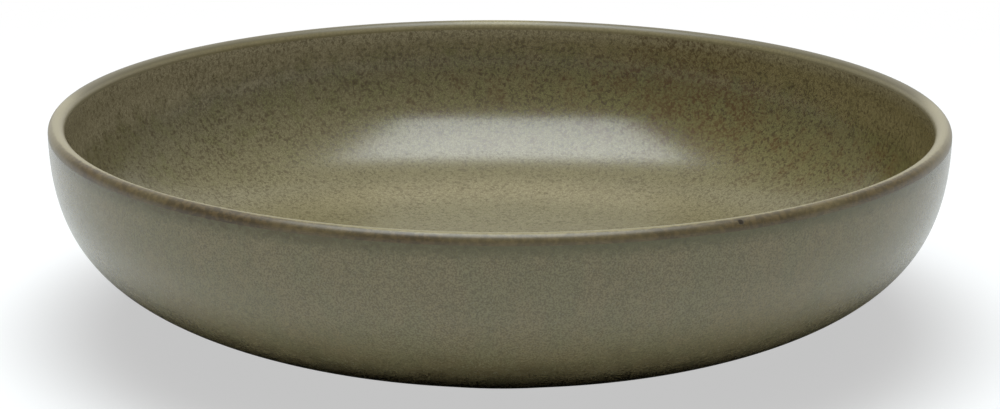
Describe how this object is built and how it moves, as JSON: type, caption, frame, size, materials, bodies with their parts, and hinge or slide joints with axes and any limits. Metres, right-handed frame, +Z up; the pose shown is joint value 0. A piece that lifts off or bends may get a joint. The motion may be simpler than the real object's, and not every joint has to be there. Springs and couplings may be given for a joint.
{
  "type": "soup plate",
  "caption": "Round coupe soup plate in speckled olive stoneware: steep rounded wall, thick rounded lip, wide shallow well and a low bare foot ring.",
  "frame": {"origin": "centre of the circle on which the foot ring stands, at table level", "axes": "+Z up along the plate's axis, out of the well; X and Y across the plate, which is round about Z"},
  "size_m": [0.22, 0.22, 0.053],
  "materials": {
    "fired_clay": "bare fired stoneware, fine toothed and matt, on the foot ring only",
    "inside_glaze": "satin olive glaze with dense fine dark brown mottling",
    "rim_glaze": "satin tan glaze, thin over the edge, with broken brown spots",
    "outside_glaze": "satin grey-olive glaze with faint fine speckle",
    "base_glaze": "satin grey-olive glaze, thin and uneven"
  },
  "bodies": {
    "root": {"stoneware_body": "fired_clay", "inside_glaze": "inside_glaze", "rim_glaze": "rim_glaze", "outside_glaze": "outside_glaze", "base_glaze": "base_glaze"}
  },
  "joints": []
}
